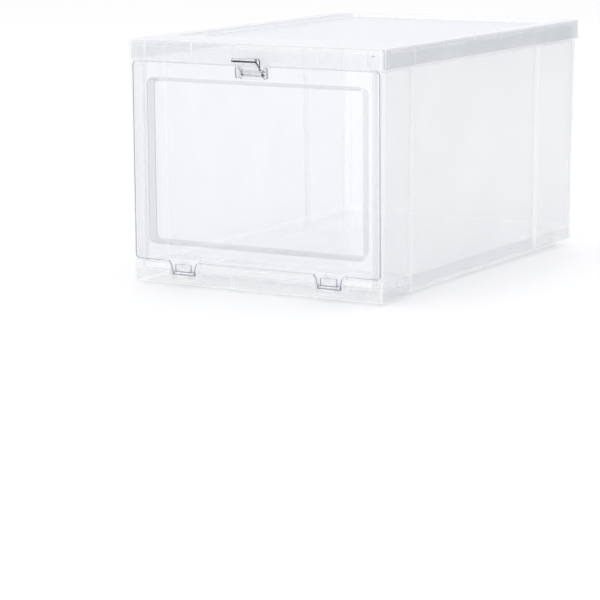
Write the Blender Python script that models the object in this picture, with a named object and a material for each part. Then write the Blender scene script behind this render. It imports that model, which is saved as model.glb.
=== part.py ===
"""Stackable shoe box with a drop-down front door, built as four moulded pieces.

body   one open moulding: base, side walls with recessed panels, back wall, corner columns,
       front rail with two hinge pockets, and a foot ring that nests in the lid of a box below
lid    press-fit cover with a stacking recess, a ribbed rim and a deep skirt
door   clear door that drops forward on two moulded pins, with a window pressed inward
latch  small clear lever that turns on a bar in the door's top edge

Lengths are in millimetres until they reach Blender, which works in metres.
X runs to the right, Y to the back and Z up. Depths called "s" count from the lid's front face.
"""
import math

import bmesh
import bpy

MM = 0.001

# Overall size
LID_WIDTH = 240.0
LID_DEPTH = 358.0
HEIGHT = 202.0

# How far a joined shape sinks into its neighbour, and how far a cutter runs past the face it cuts
EMBED = 0.5
PAST = 1.0

# Lid
SKIRT_HEIGHT = 16.7
SKIRT_WALL = 1.7
LID_PLATE = 1.7
LID_CORNER = 3.0
RECESS_DEPTH = 3.5
RECESS_FRONT = 50.5
RECESS_MARGIN = 10.8
RECESS_DRAFT = 1.0
RECESS_CORNER = 3.5
RIB = 1.4
RIB_SETBACK = 1.3
TALL_RIB_S = 52.5
FRONT_RIBS = (20.5, 60.0, 105.0)
SIDE_RIB_FIRST = 15.0
SIDE_RIB_PITCH = 46.85
SIDE_RIB_COUNT = 8
REAR_RIBS = (20.5, 60.0, 100.0)
RIB_CLEARANCE = 0.6

# Body
WALL = 1.7
BODY_HALF_WIDTH = 119.5
BODY_HALF_WIDTH_LOW = 117.8
BODY_BACK = 356.5
BODY_BACK_LOW = 353.7
PANEL_FRONT = 50.0
PANEL_BACK = 277.5
PANEL_STEP = 3.0
REAR_CORNER = 7.0
FRONT_CORNER = 1.2
BODY_BOTTOM = 2.4
LEDGE_TOP = 185.0
LEDGE = 1.8
COLLAR_TOP = 196.4
COLLAR_HALF_WIDTH = 115.7
COLLAR_FRONT = 4.8
COLLAR_BACK = 354.0
COLLAR_WALL = 2.2
COLLAR_CORNERS = (2.0, 5.0)
GUTTER_TOP = 14.0
GUTTER_UNDERCUT = 4.5
FLOOR_TOP = 18.5
WALL_BOTTOM = 6.0
RABBET = 2.6
OPENING_HALF_WIDTH = 107.5
JAMB_RETURN = 7.0
FOOT_HALF_WIDTH = 107.6
FOOT_FRONT = 53.0
FOOT_BACK = 344.8
FOOT_CORNER = 8.0
BULKHEAD = 1.2
RAIL_TOP = 18.5
RAIL_RIBS = (22.0, 104.7)

# Door
DOOR_HALF_WIDTH = 115.7
DOOR_LOW = 20.8
DOOR_TOP = 184.0
DOOR_FACE = 0.1
DOOR_PLATE = 1.8
DOOR_CORNER = 3.5
WINDOW_HALF_WIDTH = 101.2
WINDOW_LOW = 35.4
WINDOW_TOP = 170.1
WINDOW_DEPTH = 8.0
WINDOW_DRAFT = 2.0
WINDOW_CORNER = 4.0
WINDOW_WALL = 1.6

# Door hinges
HINGE_X = 69.0
HINGE_S = 1.8
HINGE_Z = 11.0
PIN_RADIUS = 1.5
EAR_RADIUS = 1.7
EAR_OUTER = 11.7
EAR_OUTER_LOW = 10.4
EAR_INNER = 7.4
EAR_ROOT_Z = 18.4
TAB_NECK_Z = 17.8
TAB_FLARE = 2.2
TAB_CORNER = 1.5
PIN_CLEARANCE = 0.4
POCKET_HALF_WIDTH = 12.8
POCKET_BACK = 7.0
POCKET_LOW = 6.5
POCKET_WALL = 1.6
KNUCKLE_HALF_WIDTH = 5.2
KNUCKLE_FRONT = 0.8
KNUCKLE_DROP = 3.4
KNUCKLE_MOUTH = 1.35
GUARD_HALF_WIDTH = 14.2
GUARD_FRONT = 3.1
GUARD_TOP = 22.5
GUARD_CLEARANCE = 1.0
GUARD_WINDOW_HALF_WIDTH = 4.7
GUARD_BORDER = 2.0

# Latch
LATCH_S = 1.3
LATCH_Z = 178.0
BAR_RADIUS = 1.2
SLEEVE_RADIUS = 2.9
SLEEVE_BORE = 1.6
SLEEVE_MOUTH = 1.05
NOTCH_HALF_WIDTH = 11.5
NOTCH_LOW = 173.5
BOSS_WIDTH = 3.2
BOSS_REACH = 2.5
BOSS_INSET = 0.8
LATCH_HALF_WIDTH = 10.5
SLEEVE_HALF_WIDTH = 9.6
TAB_ANGLE = math.radians(49)
TAB_LENGTH = 17.5
TAB_PLATE = 1.8
BEAD_RADIUS = 1.7
GRIP_MARGIN = 2.5
GRIP_START = 5.0
GRIP_END = 3.5
GRIP_CORNER = 1.5
GRIP_DEPTH = 0.6
HOOK_TOP = 190.5
HOOK_HALF_WIDTH = 8.0
HOOK_PLATE = 1.6
HOOK_CORNER = 3.0
HOOK_FRONT = -2.1

# The origin is under the middle of the whole object, whose foremost point is the latch's bead.
LATCH_REACH = TAB_LENGTH * math.sin(TAB_ANGLE) + BEAD_RADIUS - LATCH_S
FRONT_Y = -(LID_DEPTH - LATCH_REACH) / 2
ROUND_STEPS = 5
SIDES = 32


def clear_scene():
    for item in list(bpy.data.objects):
        bpy.data.objects.remove(item, do_unlink=True)


def new_collection(name):
    group = bpy.data.collections.new(name)
    bpy.context.scene.collection.children.link(group)
    return group


def depth(s):
    """The Y of a point s behind the lid's front face."""
    return FRONT_Y + s


def new_material(name, color, roughness, transmission):
    material = bpy.data.materials.new(name)
    material.use_nodes = True
    shader = material.node_tree.nodes["Principled BSDF"]
    shader.inputs["Base Color"].default_value = (*color, 1.0)
    shader.inputs["Roughness"].default_value = roughness
    shader.inputs["Metallic"].default_value = 0.0
    shader.inputs["Transmission Weight"].default_value = transmission
    return material


# ---------------------------------------------------------------- shapes

def mesh_object(name, mesh, group):
    item = bpy.data.objects.new(name, mesh)
    group.objects.link(item)
    if group == TOOLS:
        item.hide_render = True
        item.display_type = "WIRE"
    return item


def face_outward(shape):
    shape.normal_update()
    bmesh.ops.recalc_face_normals(shape, faces=shape.faces)
    if shape.calc_volume(signed=True) < 0:
        bmesh.ops.reverse_faces(shape, faces=shape.faces)


def box(name, low, high, group=None):
    """A box between two corners given as (x, s, z)."""
    shape = bmesh.new()
    bmesh.ops.create_cube(shape, size=1.0)
    for vertex in shape.verts:
        corner = [high[i] if vertex.co[i] > 0 else low[i] for i in range(3)]
        vertex.co = (corner[0] * MM, depth(corner[1]) * MM, corner[2] * MM)
    mesh = bpy.data.meshes.new(name)
    shape.to_mesh(mesh)
    shape.free()
    return mesh_object(name, mesh, group or TOOLS)


def rod(name, middle, radius, half_length, group=None):
    """A cylinder along X about the point (x, s, z)."""
    shape = bmesh.new()
    bmesh.ops.create_cone(shape, cap_ends=True, segments=SIDES, radius1=radius * MM,
                          radius2=radius * MM, depth=2 * half_length * MM)
    for vertex in shape.verts:
        across, up, along = vertex.co
        vertex.co = (middle[0] * MM + along, depth(middle[1]) * MM + across, middle[2] * MM + up)
    face_outward(shape)
    mesh = bpy.data.meshes.new(name)
    shape.to_mesh(mesh)
    shape.free()
    mesh.shade_smooth()
    mesh.set_sharp_from_angle(angle=math.radians(40))
    return mesh_object(name, mesh, group or TOOLS)


def rounded(corners):
    """A closed outline through (a, b, radius) corners, with each corner turned on its radius."""
    points = []
    for index, (a, b, radius) in enumerate(corners):
        if radius == 0:
            points.append((a, b))
            continue
        before = corners[index - 1]
        after = corners[(index + 1) % len(corners)]
        into = math.atan2(b - before[1], a - before[0])
        out = math.atan2(after[1] - b, after[0] - a)
        turn = math.remainder(out - into, 2 * math.pi)
        side = math.copysign(1.0, turn)
        reach = radius * abs(math.tan(turn / 2))
        start = (a - reach * math.cos(into), b - reach * math.sin(into))
        centre = (start[0] - side * radius * math.sin(into), start[1] + side * radius * math.cos(into))
        for step in range(ROUND_STEPS + 1):
            angle = into + turn * step / ROUND_STEPS
            points.append((centre[0] + side * radius * math.sin(angle),
                           centre[1] - side * radius * math.cos(angle)))
    return points


def prism(name, outline, low, high, upright=False, group=None):
    """A flat outline given thickness.

    The outline is (x, s) and low and high are heights. An upright one is (x, z), and its low
    and high are depths.
    """
    curve = bpy.data.curves.new(name, "CURVE")
    curve.dimensions = "2D"
    curve.fill_mode = "BOTH"
    curve.extrude = (high - low) / 2 * MM
    spline = curve.splines.new("POLY")
    spline.points.add(len(outline) - 1)
    for point, (a, b) in zip(spline.points, outline):
        point.co = (a * MM, b * MM, 0.0, 1.0)
    spline.use_cyclic_u = True
    guide = bpy.data.objects.new(name + "_outline", curve)
    TOOLS.objects.link(guide)
    graph = bpy.context.evaluated_depsgraph_get()
    mesh = bpy.data.meshes.new_from_object(guide.evaluated_get(graph))
    bpy.data.objects.remove(guide, do_unlink=True)
    mesh.name = name
    shape = bmesh.new()
    shape.from_mesh(mesh)
    bmesh.ops.remove_doubles(shape, verts=shape.verts, dist=0.00001)
    for end in (-curve.extrude, curve.extrude):
        cap = [face for face in shape.faces if all(abs(v.co.z - end) < 0.000001 for v in face.verts)]
        bmesh.ops.dissolve_faces(shape, faces=cap)
    middle = (low + high) / 2 * MM
    for vertex in shape.verts:
        a, b, across = vertex.co
        if upright:
            vertex.co = (a, depth(0) * MM + middle + across, b)
        else:
            vertex.co = (a, depth(0) * MM + b, middle + across)
    face_outward(shape)
    shape.to_mesh(mesh)
    shape.free()
    return mesh_object(name, mesh, group or TOOLS)


def rectangle(half_width, low, high, radius):
    """An outline half_width to each side of the middle, between two depths or heights."""
    return rounded([(-half_width, low, radius), (half_width, low, radius),
                    (half_width, high, radius), (-half_width, high, radius)])


def taper(item, inset, low, high, upright=False):
    """Draft a rectangular prism: its sides move in by inset from one end to the other."""
    axis = 1 if upright else 2
    offset = depth(0) * MM if upright else 0.0
    across = (0, 2) if upright else (0, 1)
    centre = [sum(v.co[i] for v in item.data.vertices) / len(item.data.vertices) for i in range(3)]
    for vertex in item.data.vertices:
        share = (vertex.co[axis] - offset - low * MM) / ((high - low) * MM)
        for i in across:
            side = math.copysign(1.0, vertex.co[i] - centre[i])
            vertex.co[i] -= side * inset * MM * share


def join(target, piece):
    add_boolean(target, piece, "UNION")


def cut(target, piece):
    add_boolean(target, piece, "DIFFERENCE")


def add_boolean(target, piece, operation):
    step = target.modifiers.new(piece.name, "BOOLEAN")
    step.operation = operation
    step.solver = "EXACT"
    step.object = piece


def set_origin(item, s, z):
    """Move an object's origin to the pivot line at (s, z) without moving its shape."""
    pivot = (0.0, depth(s) * MM, z * MM)
    for vertex in item.data.vertices:
        vertex.co = [value - shift for value, shift in zip(vertex.co, pivot)]
    item.location = pivot


# ---------------------------------------------------------------- body

def draft_walls(item):
    """Lean the upright walls of the body in towards the base."""
    span = (LEDGE_TOP - BODY_BOTTOM) * MM
    middle = (PANEL_BACK + BODY_BACK) / 2
    for vertex in item.data.vertices:
        drop = (LEDGE_TOP * MM - vertex.co.z) / span
        vertex.co.x -= math.copysign(BODY_HALF_WIDTH - BODY_HALF_WIDTH_LOW, vertex.co.x) * MM * drop
        if vertex.co.y > depth(middle) * MM:
            vertex.co.y -= (BODY_BACK - BODY_BACK_LOW) * MM * drop


def wall_outline(inset, front):
    """The plan of the walls: columns stand proud of the side panels, at the front and the rear."""
    side = BODY_HALF_WIDTH - inset
    panel = side - PANEL_STEP
    back = BODY_BACK - inset
    radius = REAR_CORNER - inset
    right = [(side, PANEL_BACK + inset, 0), (side, back, radius)]
    if front < PANEL_FRONT:
        front_radius = FRONT_CORNER if inset == 0 else 0
        right = [(side, front, front_radius), (side, PANEL_FRONT - inset, 0),
                 (panel, PANEL_FRONT - inset, 0), (panel, PANEL_BACK + inset, 0)] + right
    else:
        right = [(panel, front, 0), (panel, PANEL_BACK + inset, 0)] + right
    left = [(-x, s, radius) for x, s, radius in reversed(right)]
    return rounded(right + left)


def cut_body_hollows(body):
    """Open the shell: the door's rabbet, the compartment, the doorway and the underside."""
    beyond = BODY_HALF_WIDTH + PAST
    cut(body, box("rabbet", (-beyond, -PAST, RAIL_TOP), (beyond, RABBET, LEDGE_TOP + PAST)))

    compartment = prism("compartment", wall_outline(WALL, RABBET + WALL), FLOOR_TOP, LEDGE_TOP - LEDGE)
    draft_walls(compartment)
    cut(body, compartment)

    half = OPENING_HALF_WIDTH
    inside = RABBET + WALL
    cut(body, box("doorway", (-half, -PAST, RAIL_TOP), (half, inside + PAST, LEDGE_TOP - LEDGE)))
    cut(body, box("gutter_mouth", (-half, WALL, GUTTER_TOP), (half, inside + PAST, FLOOR_TOP + PAST)))
    gutter = half + GUTTER_UNDERCUT
    cut(body, box("gutter", (-gutter, inside, GUTTER_TOP), (gutter, PANEL_FRONT - WALL, FLOOR_TOP + PAST)))

    neck = COLLAR_HALF_WIDTH - COLLAR_WALL
    cut(body, box("neck", (-neck, COLLAR_FRONT + WALL, LEDGE_TOP - LEDGE - PAST),
                  (neck, COLLAR_BACK - COLLAR_WALL, COLLAR_TOP + PAST)))

    side = BODY_HALF_WIDTH - WALL
    under_rail = prism("under_rail", rectangle(side, WALL, PANEL_FRONT - WALL, 0), -PAST, GUTTER_TOP - WALL)
    draft_walls(under_rail)
    cut(body, under_rail)
    under_floor = prism("under_floor", wall_outline(WALL, PANEL_FRONT + BULKHEAD), -PAST, FLOOR_TOP - WALL)
    draft_walls(under_floor)
    cut(body, under_floor)
    cut(body, box("raised_hem", (-beyond, PANEL_FRONT, -PAST), (beyond, BODY_BACK + PAST, WALL_BOTTOM)))


def add_jambs(body):
    """A return flange stiffens the inner edge of each front column."""
    for name, side in (("left", -1), ("right", 1)):
        near = side * OPENING_HALF_WIDTH
        far = side * (OPENING_HALF_WIDTH + WALL)
        low = (min(near, far), RABBET + EMBED, GUTTER_TOP - EMBED)
        high = (max(near, far), RABBET + JAMB_RETURN, LEDGE_TOP - EMBED)
        join(body, box("jamb_" + name, low, high))


def add_collar(body):
    """The walls rise inside the lid's skirt as a thinner collar."""
    front, rear = COLLAR_CORNERS
    outline = rounded([(-COLLAR_HALF_WIDTH, COLLAR_FRONT, front), (COLLAR_HALF_WIDTH, COLLAR_FRONT, front),
                       (COLLAR_HALF_WIDTH, COLLAR_BACK, rear), (-COLLAR_HALF_WIDTH, COLLAR_BACK, rear)])
    join(body, prism("collar", outline, LEDGE_TOP - EMBED, COLLAR_TOP))


def add_foot(body):
    ring = prism("foot_ring", rectangle(FOOT_HALF_WIDTH, FOOT_FRONT, FOOT_BACK, FOOT_CORNER),
                 0.0, FLOOR_TOP - EMBED)
    inside = prism("foot_inside", rectangle(FOOT_HALF_WIDTH - WALL, FOOT_FRONT + WALL, FOOT_BACK - WALL,
                                            FOOT_CORNER - WALL), -PAST, FLOOR_TOP - WALL)
    cut(ring, inside)
    join(body, ring)


def add_rail_ribs(body):
    for index, x in enumerate([side * rib for rib in RAIL_RIBS for side in (-1, 1)]):
        join(body, box(f"rail_rib_{index}", (x - RIB / 2, WALL - EMBED, BODY_BOTTOM + RIB_SETBACK),
                       (x + RIB / 2, PANEL_FRONT - WALL + EMBED, GUTTER_TOP - EMBED)))


def add_hinge_seats(body):
    """Each hinge has a pocket in the rail, a guard above it and a knuckle open to the front."""
    for name, x in (("left", -HINGE_X), ("right", HINGE_X)):
        outer = POCKET_HALF_WIDTH + POCKET_WALL
        join(body, box("pocket_walls_" + name, (x - outer, WALL - EMBED, POCKET_LOW - POCKET_WALL),
                       (x + outer, POCKET_BACK + POCKET_WALL, GUTTER_TOP - EMBED)))
        cut(body, box("pocket_" + name, (x - POCKET_HALF_WIDTH, -PAST, POCKET_LOW),
                      (x + POCKET_HALF_WIDTH, POCKET_BACK, RAIL_TOP + PAST)))

        guard_low = HINGE_Z + EAR_RADIUS + GUARD_CLEARANCE
        guard = box("guard_" + name, (x - GUARD_HALF_WIDTH, GUARD_FRONT, guard_low),
                    (x + GUARD_HALF_WIDTH, POCKET_BACK + POCKET_WALL - EMBED, GUARD_TOP))
        window = GUARD_WINDOW_HALF_WIDTH
        cut(guard, box("guard_window_" + name, (x - window, 0, guard_low + GUARD_BORDER),
                       (x + window, POCKET_BACK + POCKET_WALL, GUARD_TOP - GUARD_BORDER)))
        join(body, guard)

        across = KNUCKLE_HALF_WIDTH
        knuckle = box("knuckle_" + name, (x - across, KNUCKLE_FRONT, HINGE_Z - KNUCKLE_DROP),
                      (x + across, POCKET_BACK + EMBED, guard_low + EMBED))
        cut(knuckle, rod("knuckle_bore_" + name, (x, HINGE_S, HINGE_Z), PIN_RADIUS + PIN_CLEARANCE,
                         across + PAST))
        cut(knuckle, box("knuckle_mouth_" + name, (x - across - PAST, -PAST, HINGE_Z - KNUCKLE_MOUTH),
                         (x + across + PAST, HINGE_S, HINGE_Z + KNUCKLE_MOUTH)))
        join(body, knuckle)


def make_body(parts):
    body = prism("body", wall_outline(0, 0), BODY_BOTTOM, LEDGE_TOP, group=parts)
    draft_walls(body)
    add_collar(body)
    cut_body_hollows(body)
    add_jambs(body)
    add_foot(body)
    add_rail_ribs(body)
    add_hinge_seats(body)
    body.data.materials.append(new_material("milky_polypropylene", (0.86, 0.88, 0.90), 0.35, 0.7))
    return body


# ---------------------------------------------------------------- lid

def add_lid_ribs(lid):
    """Short ribs brace the rim all round, and full-height ones stand inside the front skirt."""
    inner = LID_WIDTH / 2 - SKIRT_WALL
    plate_low = HEIGHT - RECESS_DEPTH - LID_PLATE
    rim_low = HEIGHT - LID_PLATE
    skirt_low = HEIGHT - SKIRT_HEIGHT
    tub = LID_WIDTH / 2 - RECESS_MARGIN
    for index, x in enumerate([side * rib for rib in FRONT_RIBS for side in (-1, 1)]):
        join(lid, box(f"front_rib_{index}", (x - RIB / 2, SKIRT_WALL - EMBED, skirt_low + RIB_SETBACK),
                      (x + RIB / 2, COLLAR_FRONT - RIB_CLEARANCE, rim_low + EMBED)))
    rear = LID_DEPTH - RECESS_MARGIN + EMBED
    for index, x in enumerate([side * rib for rib in REAR_RIBS for side in (-1, 1)]):
        join(lid, box(f"rear_rib_{index}", (x - RIB / 2, rear, plate_low + RIB_SETBACK),
                      (x + RIB / 2, LID_DEPTH - SKIRT_WALL + EMBED, rim_low + EMBED)))
    for index in range(SIDE_RIB_COUNT):
        s = SIDE_RIB_FIRST + SIDE_RIB_PITCH * index
        for name, side in (("left", -1), ("right", 1)):
            near = side * (tub + EMBED)
            far = side * (inner + EMBED)
            join(lid, box(f"{name}_rib_{index}", (min(near, far), s - RIB / 2, plate_low + RIB_SETBACK),
                          (max(near, far), s + RIB / 2, rim_low + EMBED)))
    for name, side in (("left", -1), ("right", 1)):
        near = side * (COLLAR_HALF_WIDTH + RIB_CLEARANCE)
        far = side * (inner + EMBED)
        join(lid, box("tall_rib_" + name, (min(near, far), TALL_RIB_S - RIB / 2, skirt_low + RIB_SETBACK),
                      (max(near, far), TALL_RIB_S + RIB / 2, rim_low + EMBED)))


def make_lid(parts):
    half = LID_WIDTH / 2
    skirt_low = HEIGHT - SKIRT_HEIGHT
    lid = prism("lid", rectangle(half, 0, LID_DEPTH, LID_CORNER), skirt_low, HEIGHT, group=parts)
    cut(lid, prism("lid_hollow", rectangle(half - SKIRT_WALL, SKIRT_WALL, LID_DEPTH - SKIRT_WALL,
                                           LID_CORNER - SKIRT_WALL), skirt_low - PAST, HEIGHT - LID_PLATE))

    plate_low = HEIGHT - RECESS_DEPTH - LID_PLATE
    recess_half = half - RECESS_MARGIN
    recess_back = LID_DEPTH - RECESS_MARGIN
    tub_outline = rectangle(recess_half + LID_PLATE, RECESS_FRONT - LID_PLATE, recess_back + LID_PLATE,
                            RECESS_CORNER + LID_PLATE)
    tub = prism("recess_tub", tub_outline, plate_low, HEIGHT - EMBED)
    taper(tub, RECESS_DRAFT, HEIGHT, plate_low)
    join(lid, tub)
    recess = prism("recess", rectangle(recess_half, RECESS_FRONT, recess_back, RECESS_CORNER),
                   HEIGHT - RECESS_DEPTH, HEIGHT + PAST)
    taper(recess, RECESS_DRAFT, HEIGHT, HEIGHT - RECESS_DEPTH)
    cut(lid, recess)
    add_lid_ribs(lid)
    lid.data.materials.append(new_material("milky_polypropylene_lid", (0.84, 0.86, 0.89), 0.35, 0.6))
    return lid


# ---------------------------------------------------------------- door

def door_outline():
    """The door's edge, with the latch notch at the top and a tapered tab at each hinge."""
    half = DOOR_HALF_WIDTH
    corners = [(-half, DOOR_LOW, DOOR_CORNER)]
    for x in (-HINGE_X, HINGE_X):
        neck, root = TAB_NECK_Z, EAR_OUTER + TAB_FLARE
        corners += [(x - root, DOOR_LOW, TAB_CORNER), (x - EAR_OUTER, neck, TAB_CORNER),
                    (x - EAR_OUTER_LOW, HINGE_Z, 0), (x - EAR_INNER, HINGE_Z, 0),
                    (x - EAR_INNER, EAR_ROOT_Z, 0), (x + EAR_INNER, EAR_ROOT_Z, 0),
                    (x + EAR_INNER, HINGE_Z, 0), (x + EAR_OUTER_LOW, HINGE_Z, 0),
                    (x + EAR_OUTER, neck, TAB_CORNER), (x + root, DOOR_LOW, TAB_CORNER)]
    corners += [(half, DOOR_LOW, DOOR_CORNER), (half, DOOR_TOP, DOOR_CORNER),
                (NOTCH_HALF_WIDTH, DOOR_TOP, 0), (NOTCH_HALF_WIDTH, NOTCH_LOW, TAB_CORNER),
                (-NOTCH_HALF_WIDTH, NOTCH_LOW, TAB_CORNER), (-NOTCH_HALF_WIDTH, DOOR_TOP, 0),
                (-half, DOOR_TOP, DOOR_CORNER)]
    return rounded(corners)


def add_hinge_pins(door):
    for name, x in (("left", -HINGE_X), ("right", HINGE_X)):
        for edge, side in (("inner", -1), ("outer", 1)):
            middle = x + side * (EAR_INNER + EAR_OUTER_LOW) / 2
            join(door, rod(f"ear_{name}_{edge}", (middle, HINGE_S, HINGE_Z), EAR_RADIUS,
                           (EAR_OUTER_LOW - EAR_INNER) / 2))
        join(door, rod("pin_" + name, (x, HINGE_S, HINGE_Z), PIN_RADIUS, EAR_INNER + EMBED))


def add_latch_seat(door):
    """Two bosses flank the notch and carry the bar that the latch turns on."""
    for name, side in (("left", -1), ("right", 1)):
        near = side * NOTCH_HALF_WIDTH
        far = side * (NOTCH_HALF_WIDTH + BOSS_WIDTH)
        low, high = NOTCH_LOW + BOSS_INSET, DOOR_TOP - BOSS_INSET
        outline = rounded([(min(near, far), low, BOSS_INSET), (max(near, far), low, BOSS_INSET),
                           (max(near, far), high, BOSS_INSET), (min(near, far), high, BOSS_INSET)])
        join(door, prism("boss_" + name, outline, -BOSS_REACH, DOOR_FACE + EMBED, upright=True))
    join(door, rod("latch_bar", (0, LATCH_S, LATCH_Z), BAR_RADIUS, NOTCH_HALF_WIDTH + EMBED))


def make_door(parts):
    door = prism("door", door_outline(), DOOR_FACE, DOOR_FACE + DOOR_PLATE, upright=True, group=parts)
    face = DOOR_FACE
    floor = DOOR_FACE + WINDOW_DEPTH
    grow = WINDOW_WALL
    tub = prism("window_tub", rectangle(WINDOW_HALF_WIDTH + grow, WINDOW_LOW - grow, WINDOW_TOP + grow,
                                        WINDOW_CORNER + grow), face + EMBED, floor + WINDOW_WALL, upright=True)
    taper(tub, WINDOW_DRAFT, face, floor + WINDOW_WALL, upright=True)
    join(door, tub)
    pocket = prism("window_pocket", rectangle(WINDOW_HALF_WIDTH, WINDOW_LOW, WINDOW_TOP, WINDOW_CORNER),
                   face - PAST, floor, upright=True)
    taper(pocket, WINDOW_DRAFT, face, floor, upright=True)
    cut(door, pocket)
    add_hinge_pins(door)
    add_latch_seat(door)
    door.data.materials.append(new_material("clear_polystyrene", (0.93, 0.95, 0.98), 0.05, 0.95))
    set_origin(door, HINGE_S, HINGE_Z)
    return door


# ---------------------------------------------------------------- latch

def lean(item, angle):
    """Turn a shape about the latch's bar; a positive angle tips its top to the front."""
    y, z = depth(LATCH_S) * MM, LATCH_Z * MM
    for vertex in item.data.vertices:
        across, up = vertex.co.y - y, vertex.co.z - z
        vertex.co.y = y + across * math.cos(angle) - up * math.sin(angle)
        vertex.co.z = z + across * math.sin(angle) + up * math.cos(angle)


def make_latch(parts):
    latch = rod("latch", (0, LATCH_S, LATCH_Z), SLEEVE_RADIUS, SLEEVE_HALF_WIDTH, group=parts)

    tab_start = LATCH_Z + BAR_RADIUS
    tab_end = LATCH_Z + TAB_LENGTH
    face = LATCH_S - TAB_PLATE / 2
    tab = prism("tab", rounded([(-SLEEVE_HALF_WIDTH, tab_start, 0), (SLEEVE_HALF_WIDTH, tab_start, 0),
                                (LATCH_HALF_WIDTH, tab_end, 0), (-LATCH_HALF_WIDTH, tab_end, 0)]),
                face, face + TAB_PLATE, upright=True)
    lean(tab, TAB_ANGLE)
    join(latch, tab)
    bead = rod("bead", (0, LATCH_S, tab_end), BEAD_RADIUS, LATCH_HALF_WIDTH + EMBED)
    lean(bead, TAB_ANGLE)
    join(latch, bead)
    grip = prism("grip", rectangle(LATCH_HALF_WIDTH - GRIP_MARGIN, LATCH_Z + GRIP_START, tab_end - GRIP_END,
                                   GRIP_CORNER), face - PAST, face + GRIP_DEPTH, upright=True)
    lean(grip, TAB_ANGLE)
    cut(latch, grip)

    half = HOOK_HALF_WIDTH
    hook = prism("hook", rounded([(-half, LATCH_Z, 0), (half, LATCH_Z, 0),
                                  (half, HOOK_TOP, HOOK_CORNER), (-half, HOOK_TOP, HOOK_CORNER)]),
                 HOOK_FRONT, HOOK_FRONT + HOOK_PLATE, upright=True)
    join(latch, hook)
    across = SLEEVE_HALF_WIDTH + PAST
    cut(latch, rod("sleeve_bore", (0, LATCH_S, LATCH_Z), SLEEVE_BORE, across))
    cut(latch, box("sleeve_mouth", (-across, LATCH_S, LATCH_Z - SLEEVE_MOUTH),
                   (across, LATCH_S + SLEEVE_RADIUS + PAST, LATCH_Z + SLEEVE_MOUTH)))
    latch.data.materials.append(new_material("clear_polystyrene_latch", (0.88, 0.91, 0.95), 0.08, 0.9))
    set_origin(latch, LATCH_S, LATCH_Z)
    return latch


clear_scene()
PARTS = new_collection("shoe_box")
TOOLS = new_collection("cutters")

make_body(PARTS)
make_lid(PARTS)
door_piece = make_door(PARTS)
latch_piece = make_latch(PARTS)
latch_piece.parent = door_piece
latch_piece.matrix_parent_inverse.translation = -door_piece.location
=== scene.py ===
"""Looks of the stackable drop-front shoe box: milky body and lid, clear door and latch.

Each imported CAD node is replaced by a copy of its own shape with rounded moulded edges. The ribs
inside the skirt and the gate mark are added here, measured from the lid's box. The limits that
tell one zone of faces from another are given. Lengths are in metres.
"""

import math

import bmesh
import bpy
from mathutils import Matrix, Vector


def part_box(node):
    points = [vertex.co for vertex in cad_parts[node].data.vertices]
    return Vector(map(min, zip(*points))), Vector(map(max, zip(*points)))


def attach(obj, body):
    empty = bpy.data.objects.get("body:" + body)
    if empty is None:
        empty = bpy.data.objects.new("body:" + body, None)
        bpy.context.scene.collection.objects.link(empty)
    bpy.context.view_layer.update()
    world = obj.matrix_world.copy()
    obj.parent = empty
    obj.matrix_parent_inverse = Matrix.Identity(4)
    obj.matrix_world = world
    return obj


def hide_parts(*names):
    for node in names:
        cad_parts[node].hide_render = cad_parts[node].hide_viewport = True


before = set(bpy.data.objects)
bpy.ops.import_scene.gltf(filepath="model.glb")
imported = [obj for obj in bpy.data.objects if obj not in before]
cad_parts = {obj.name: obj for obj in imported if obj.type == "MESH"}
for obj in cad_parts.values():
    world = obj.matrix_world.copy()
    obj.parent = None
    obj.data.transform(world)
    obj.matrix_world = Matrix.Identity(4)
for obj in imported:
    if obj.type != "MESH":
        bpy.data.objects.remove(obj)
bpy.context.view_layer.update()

MM = 0.001

# Edge rounding: which edges turn sharply enough, and how the corners between faces shade
WELD = 0.002 * MM
FLAT_ANGLE = math.radians(0.8)
EDGE_ANGLE = math.radians(28)
ROUND_SEGMENTS = 2
SAME_SURFACE = math.cos(math.radians(50))

# Which faces share a material: narrow faces (painted highlight), the door's sheet, its cut edges
# (painted shade), the base (painted light), the skirt's sides (painted shade)
THIN_FACE = 3.3 * MM
THIN_FACET = 0.7 * MM
STRAIGHT = 0.98
SHEET_SIDE = 0.7
CUT_EDGE = 3.9 * MM
PAINTED_LIGHT_BASE_Z = 19.0 * MM
PAINTED_LIGHT_BASE_X = 112.0 * MM
PAINTED_SHADE_SKIRT_X = 117.0 * MM

# Ribs that run down the inside of the skirt's sides, and the gate mark on its front
RIB_FIRST = 15.0 * MM
RIB_PITCH = 46.85 * MM
RIB_COUNT = 8
RIB_HALF_WIDTH = 0.6 * MM
RIB_ACROSS = (1.4 * MM, 3.3 * MM)
RIB_DOWN = (2.6 * MM, 8.5 * MM)
GATE_X = 109.5 * MM
GATE_DOWN = 6.0 * MM
GATE_RADIUS = 0.45 * MM
GATE_TAPER = 0.8
GATE_LENGTH = 1.2 * MM
GATE_INWARD = 0.75 * MM
GATE_SIDES = 24

# Plastics: share of light mirrored head on, and the clouds in the haze
MIRROR_HEAD_ON = 0.04
MIRROR_POWER = 5.0
CLOUD_SCALE = 14.0
CLOUD_DETAIL = 4.0
CLOUD_LOW, CLOUD_HIGH = 0.3, 0.7
MILKY_CLOUDS = 0.12
CLEAR_CLOUDS = 0.05
GRAZING_COSINE = 0.12
MILK_GLOW = 0.4
SATIN_GLOSS = (0.93, 0.94, 0.96)

# Camera, relative to the middle of the lid's top
CAMERA_OFFSET = Vector((1.05503, -1.86532, 0.15978))
CAMERA_RIGHT = Vector((0.85808, 0.51347, -0.00723))
CAMERA_UP = Vector((-0.08703, 0.15928, 0.98339))
CAMERA_LENS = 150.15
CAMERA_SENSOR = 36.0
CAMERA_REACH = 100.0

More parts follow.
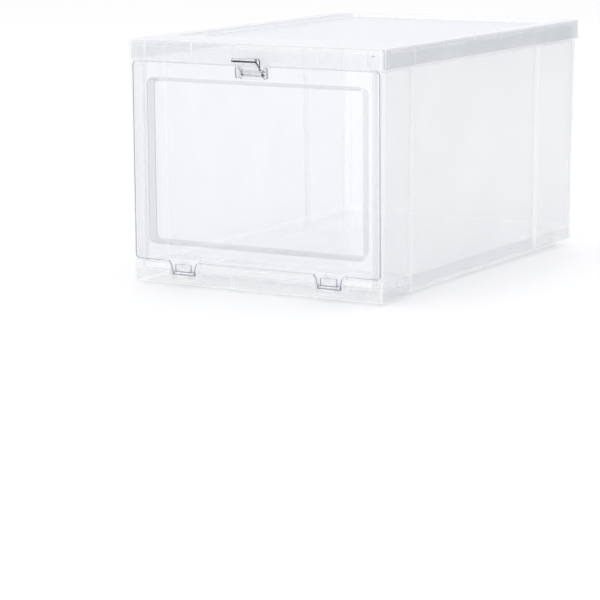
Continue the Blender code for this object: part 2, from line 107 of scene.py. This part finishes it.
# Studio
FLOOR_RADIUS = 14.0
FLOOR_SIDES = 96
FLOOR_DROP = 0.4 * MM
FLOOR_TONES = (0.91, 0.925)
WORLD_COLOUR = (0.995, 0.995, 1.0)
WORLD_STRENGTH = 1.06
CLEAR_LAYERS = 32
LAMP_AIM = (0, 0, 0.1)

LID_LOW, LID_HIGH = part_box("lid")
LID_TOP = Vector(((LID_LOW[0] + LID_HIGH[0]) / 2, (LID_LOW[1] + LID_HIGH[1]) / 2, LID_HIGH[2]))


# ---------------------------------------------------------------- shapes

def cad_copy(node):
    """The node's own shape with its flat faces whole again."""
    shape = bmesh.new()
    shape.from_mesh(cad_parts[node].data)
    bmesh.ops.remove_doubles(shape, verts=shape.verts, dist=WELD)
    bmesh.ops.dissolve_limit(shape, angle_limit=FLAT_ANGLE, verts=shape.verts, edges=shape.edges)
    return shape


def round_edges(shape, radius, shortest):
    """Round every sharp edge longer than the shortest.

    The radius isn't held back on slivers, so a few faces cross themselves. The clearest are the
    ends of the latch's sleeve, at its mouth.
    """
    shape.normal_update()
    edges = [edge for edge in shape.edges
             if edge.calc_face_angle() > EDGE_ANGLE and edge.calc_length() > shortest]
    bmesh.ops.bevel(shape, geom=edges, offset=radius, offset_type="OFFSET",
                    segments=ROUND_SEGMENTS, profile=0.5, affect="EDGES", clamp_overlap=False)


def shade_by_area(mesh):
    """Large flat faces keep their own normal, and the rounded edges turn smoothly between them."""
    faces_at = [[] for _ in mesh.vertices]
    for face in mesh.polygons:
        for vertex in face.vertices:
            faces_at[vertex].append(face)
    normals = []
    for face in mesh.polygons:
        own = face.normal.copy()
        for vertex in face.vertices:
            total = Vector()
            for other in faces_at[vertex]:
                if other.normal.dot(own) > SAME_SURFACE:
                    total += other.normal * other.area
            normals.append(total.normalized())
    mesh.normals_split_custom_set(normals)


def is_thin(face):
    """Ends of walls and ribs, steps and rounded edges, but not the facets of large corners. They get a
    painted highlight: whiter, denser plastic, partly the real haze of a wall seen along its thickness.
    """
    width = 2 * face.calc_area() / face.calc_perimeter()
    straight = max(abs(value) for value in face.normal) > STRAIGHT
    return width < (THIN_FACE if straight else THIN_FACET)


def body_zone(face):
    """0 for the walls, 1 for edges and steps (painted highlight), 2 for the base between the walls
    (painted light).
    """
    if is_thin(face):
        return 1
    centre = face.calc_center_median()
    return 2 if centre.z < PAINTED_LIGHT_BASE_Z and abs(centre.x) < PAINTED_LIGHT_BASE_X else 0


def lid_zone(face):
    """0 for the plates, 1 for edges, ribs and the wall round the recess (painted highlight), 2 for the
    skirt's sides (painted shade).
    """
    if is_thin(face):
        return 1
    return 2 if abs(face.calc_center_median().x) > PAINTED_SHADE_SKIRT_X else 0


def door_zone(face):
    """0 for the clear sheet, 1 for the walls of its window, 2 for its cut edges; 1 and 2 are inked dark
    as painted shade.
    """
    if abs(face.normal.y) > SHEET_SIDE:
        return 0
    depths = [vertex.co.y for vertex in face.verts]
    return 1 if max(depths) - min(depths) > CUT_EDGE else 2


def one_zone(face):
    """For a piece of one material."""
    return 0


def new_piece(name, shape, materials, zone):
    """A mesh whose faces take their material from their zone."""
    mesh = bpy.data.meshes.new(name)
    shape.normal_update()
    for face in shape.faces:
        face.smooth = True
        face.material_index = zone(face)
    shape.to_mesh(mesh)
    shape.free()
    shade_by_area(mesh)
    piece = bpy.data.objects.new(name, mesh)
    bpy.context.scene.collection.objects.link(piece)
    for material in materials:
        mesh.materials.append(material)
    return piece


def add_skirt_ribs(shape):
    """The rim's ribs run on down the inside of the skirt, between it and the body's collar."""
    for index in range(RIB_COUNT):
        middle = LID_LOW[1] + RIB_FIRST + RIB_PITCH * index
        for wall, side in ((LID_LOW[0], -1), (LID_HIGH[0], 1)):
            rib = bmesh.ops.create_cube(shape, size=1.0)["verts"]
            for vertex in rib:
                across = RIB_ACROSS[0] if vertex.co.x * side > 0 else RIB_ACROSS[1]
                down = RIB_DOWN[0] if vertex.co.z > 0 else RIB_DOWN[1]
                along = middle + math.copysign(RIB_HALF_WIDTH, vertex.co.y)
                vertex.co = (wall - side * across, along, LID_HIGH[2] - down)


def moulding(node, radius, shortest, zone, *materials, extra=None):
    """A node's shape with rounded edges stands for the node."""
    shape = cad_copy(node)
    if extra:
        extra(shape)
    round_edges(shape, radius, shortest)
    piece = new_piece(node + "_moulding", shape, materials, zone)
    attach(piece, node)
    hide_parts(node)


# ---------------------------------------------------------------- materials

def new_material(name):
    material = bpy.data.materials.new(name)
    material.use_nodes = True
    material.node_tree.nodes.clear()
    return material, material.node_tree


def add_node(tree, kind, inputs=(), **settings):
    node = tree.nodes.new(kind)
    for key, value in settings.items():
        setattr(node, key, value)
    for key, value in dict(inputs).items():
        if isinstance(value, bpy.types.NodeSocket):
            tree.links.new(value, node.inputs[key])
        else:
            node.inputs[key].default_value = value
    return node


def noise(tree, scale, detail):
    place = add_node(tree, "ShaderNodeTexCoord")
    cloud = add_node(tree, "ShaderNodeTexNoise",
                     {"Vector": place.outputs["Object"], "Scale": scale, "Detail": detail})
    return cloud.outputs["Fac"]


def schlick(tree):
    """Share of light that a plastic skin mirrors, the same from both of its sides."""
    facing = add_node(tree, "ShaderNodeLayerWeight", {"Blend": 0.5})
    power = add_node(tree, "ShaderNodeMath", {0: facing.outputs["Facing"], 1: MIRROR_POWER},
                     operation="POWER")
    share = add_node(tree, "ShaderNodeMath",
                     {0: power.outputs[0], 1: 1 - MIRROR_HEAD_ON, 2: MIRROR_HEAD_ON},
                     operation="MULTIPLY_ADD")
    return share.outputs[0]


def open_share(tree, depth, spread):
    """Share of light that passes one face of a hazy wall; haze thickens where it is seen aslant.

    depth is the optical depth of half a wall, because a ray meets both of its faces, and
    spread is the part of it by which the clouds vary it.
    """
    cloud = noise(tree, CLOUD_SCALE, CLOUD_DETAIL)
    haze = add_node(tree, "ShaderNodeMapRange",
                    {"Value": cloud, "From Min": CLOUD_LOW, "From Max": CLOUD_HIGH,
                     "To Min": -depth * (1 - spread), "To Max": -depth * (1 + spread)})
    facing = add_node(tree, "ShaderNodeLayerWeight", {"Blend": 0.5})
    cosine = add_node(tree, "ShaderNodeMapRange", {"Value": facing.outputs["Facing"],
                                                   "To Min": 1.0, "To Max": GRAZING_COSINE})
    path = add_node(tree, "ShaderNodeMath",
                    {0: haze.outputs["Result"], 1: cosine.outputs["Result"]}, operation="DIVIDE")
    return add_node(tree, "ShaderNodeMath", {0: path.outputs[0]}, operation="EXPONENT").outputs[0]


def milky(name, colour, depth, gloss_colour=SATIN_GLOSS):
    """Milky polypropylene: a satin skin over haze."""
    material, tree = new_material(name)
    bump = add_node(tree, "ShaderNodeBump", {"Height": noise(tree, 160.0, 2.0), "Strength": 0.04,
                                             "Distance": 0.2 * MM})
    through = add_node(tree, "ShaderNodeBsdfTransparent", {"Color": (0.993, 0.994, 0.997, 1)})
    skin = add_node(tree, "ShaderNodeBsdfPrincipled",
                    {"Base Color": (*colour, 1), "Roughness": 0.4, "Specular IOR Level": 0.0,
                     "Normal": bump.outputs["Normal"]})
    glow = add_node(tree, "ShaderNodeBsdfTranslucent", {"Color": (*colour, 1)})
    milk = add_node(tree, "ShaderNodeMixShader", {0: MILK_GLOW, 1: skin.outputs[0], 2: glow.outputs[0]})
    share = open_share(tree, depth, MILKY_CLOUDS)
    wall = add_node(tree, "ShaderNodeMixShader",
                    {0: share, 1: milk.outputs[0], 2: through.outputs[0]})
    gloss = add_node(tree, "ShaderNodeBsdfGlossy", {"Color": (*gloss_colour, 1), "Roughness": 0.2,
                                                    "Normal": bump.outputs["Normal"]})
    skinned = add_node(tree, "ShaderNodeMixShader",
                       {0: schlick(tree), 1: wall.outputs[0], 2: gloss.outputs[0]})
    add_node(tree, "ShaderNodeOutputMaterial", {"Surface": skinned.outputs[0]})
    return material


def polished(name, tint):
    """Thick clear polystyrene that bends light and lets lamps through."""
    material, tree = new_material(name)
    bump = add_node(tree, "ShaderNodeBump", {"Height": noise(tree, 60.0, 2.0), "Strength": 0.1,
                                             "Distance": 0.5 * MM})
    glass = add_node(tree, "ShaderNodeBsdfGlass",
                     {"Color": (*tint, 1), "Roughness": 0.02, "IOR": 1.5,
                      "Normal": bump.outputs["Normal"]})
    through = add_node(tree, "ShaderNodeBsdfTransparent", {"Color": (*tint, 1)})
    path = add_node(tree, "ShaderNodeLightPath")
    mixed = add_node(tree, "ShaderNodeMixShader", {0: path.outputs["Is Shadow Ray"],
                                                   1: glass.outputs[0], 2: through.outputs[0]})
    add_node(tree, "ShaderNodeOutputMaterial", {"Surface": mixed.outputs[0]})
    return material


def clear(name, ink, depth):
    """Clear polystyrene: polished, with a grey-blue tint that gathers where it is seen aslant. A dark
    ink makes it painted shade.
    """
    material, tree = new_material(name)
    bump = add_node(tree, "ShaderNodeBump", {"Height": noise(tree, 22.0, 2.0), "Strength": 0.05,
                                             "Distance": 1.0 * MM})
    through = add_node(tree, "ShaderNodeBsdfTransparent", {"Color": (0.993, 0.995, 1.0, 1)})
    shade = add_node(tree, "ShaderNodeBsdfPrincipled", {"Base Color": (*ink, 1), "Roughness": 0.3,
                                                        "Specular IOR Level": 0.0})
    share = open_share(tree, depth, CLEAR_CLOUDS)
    sheet = add_node(tree, "ShaderNodeMixShader",
                     {0: share, 1: shade.outputs[0], 2: through.outputs[0]})
    gloss = add_node(tree, "ShaderNodeBsdfGlossy", {"Color": (0.97, 0.98, 1.0, 1), "Roughness": 0.03,
                                                    "Normal": bump.outputs["Normal"]})
    skinned = add_node(tree, "ShaderNodeMixShader",
                       {0: schlick(tree), 1: sheet.outputs[0], 2: gloss.outputs[0]})
    add_node(tree, "ShaderNodeOutputMaterial", {"Surface": skinned.outputs[0]})
    return material


def floor_material():
    material, tree = new_material("studio_floor")
    cloud = noise(tree, 3.0, 2.0)
    tone = add_node(tree, "ShaderNodeMapRange",
                    {"Value": cloud, "To Min": FLOOR_TONES[0], "To Max": FLOOR_TONES[1]})
    grey = add_node(tree, "ShaderNodeCombineColor",
                    {"Red": tone.outputs[0], "Green": tone.outputs[0], "Blue": tone.outputs[0]})
    shader = add_node(tree, "ShaderNodeBsdfPrincipled",
                      {"Base Color": grey.outputs[0], "Roughness": 0.6})
    add_node(tree, "ShaderNodeOutputMaterial", {"Surface": shader.outputs[0]})
    return material


def add_gate_mark():
    """The small scar where the plastic entered the mould, sunk in the lid's front skirt. Its near-black
    colour is painted shade in the dimple.
    """
    shape = bmesh.new()
    bmesh.ops.create_cone(shape, cap_ends=True, segments=GATE_SIDES, radius1=GATE_RADIUS,
                          radius2=GATE_RADIUS * GATE_TAPER, depth=GATE_LENGTH,
                          matrix=Matrix.Rotation(math.pi / 2, 4, "X"))
    bmesh.ops.translate(shape, verts=shape.verts,
                        vec=(GATE_X, LID_LOW[1] + GATE_INWARD, LID_HIGH[2] - GATE_DOWN))
    # painted shade: the mark is near-black for the shade in its small dimple
    mark = new_piece("gate_mark", shape, [clear("painted_shade_gate_dimple", (0.05, 0.06, 0.07), 2.5)], one_zone)
    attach(mark, "lid")


# ---------------------------------------------------------------- studio

def add_camera():
    data = bpy.data.cameras.new("camera")
    data.lens = CAMERA_LENS
    data.sensor_width = CAMERA_SENSOR
    data.clip_end = CAMERA_REACH
    camera = bpy.data.objects.new("camera", data)
    bpy.context.scene.collection.objects.link(camera)
    back = CAMERA_RIGHT.cross(CAMERA_UP)
    turn = Matrix((CAMERA_RIGHT, CAMERA_UP, back)).transposed().to_4x4()
    camera.matrix_world = Matrix.Translation(LID_TOP + CAMERA_OFFSET) @ turn
    bpy.context.scene.camera = camera


def add_lamp(name, place, size, power):
    """A soft lamp that points at the middle of the box."""
    data = bpy.data.lights.new(name, "AREA")
    data.shape = "RECTANGLE"
    data.size, data.size_y = size
    data.energy = power
    lamp = bpy.data.objects.new(name, data)
    bpy.context.scene.collection.objects.link(lamp)
    lamp.location = place
    towards = Vector(LAMP_AIM) - Vector(place)
    lamp.rotation_euler = towards.to_track_quat("-Z", "Y").to_euler()


def add_studio():
    scene = bpy.context.scene
    scene.view_settings.view_transform = "Standard"
    scene.cycles.transparent_max_bounces = CLEAR_LAYERS
    world = bpy.data.worlds.new("studio")
    world.use_nodes = True
    background = world.node_tree.nodes["Background"]
    background.inputs["Color"].default_value = (*WORLD_COLOUR, 1)
    background.inputs["Strength"].default_value = WORLD_STRENGTH
    scene.world = world

    bpy.ops.mesh.primitive_circle_add(vertices=FLOOR_SIDES, radius=FLOOR_RADIUS, fill_type="NGON",
                                      location=(0, 0, -FLOOR_DROP))
    floor = bpy.context.object
    floor.name = "floor"
    floor.data.materials.append(floor_material())

    add_lamp("key", (-0.9, -2.3, 1.0), (1.6, 1.6), 14)
    add_lamp("back", (0.3, 1.8, 1.5), (2.0, 1.0), 5)


# ---------------------------------------------------------------- the box

add_camera()
moulding("body", 0.35 * MM, 0.15 * MM, body_zone,
         milky("milky_body", (0.72, 0.724, 0.734), 0.12),
         # painted highlight: edges and steps are whiter and denser, partly the real haze of a wall seen
         # along its thickness
         milky("milky_body_painted_edge_highlight", (0.985, 0.986, 0.99), 0.8),
         # painted light: the base is a near-white copy of the body's plastic, as it looks lit through
         # the window
         milky("milky_body_painted_light_base", (0.975, 0.977, 0.98), 0.07, (1.0, 1.0, 1.0)))
moulding("lid", 0.4 * MM, 0.15 * MM, lid_zone,
         milky("milky_lid", (0.89, 0.895, 0.907), 0.18, (0.895, 0.905, 0.925)),
         # painted highlight: edges, ribs and the recess wall are whiter and denser, partly the real
         # haze seen along the wall
         milky("milky_lid_painted_edge_highlight", (0.985, 0.987, 0.99), 1.0),
         # painted shade: the skirt's sides are a darker copy of the lid's plastic
         milky("milky_lid_painted_shade_side", (0.60, 0.63, 0.65), 0.24), extra=add_skirt_ribs)
moulding("door", 0.3 * MM, 1.0 * MM, door_zone,
         clear("clear_door", (0.60, 0.63, 0.67), 0.012),
         # painted shade: the window's walls are inked darker for the dark internal reflections of clear
         # edges
         clear("clear_door_painted_shade_wall", (0.36, 0.38, 0.41), 0.095),
         # painted shade: the cut edges are inked near-black for the dark internal reflections of clear
         # edges
         clear("clear_door_painted_shade_edge", (0.13, 0.16, 0.21), 0.6))
moulding("latch", 0.15 * MM, 0.15 * MM, one_zone,
         polished("clear_latch", (0.975, 0.98, 0.985)))
add_gate_mark()
add_studio()
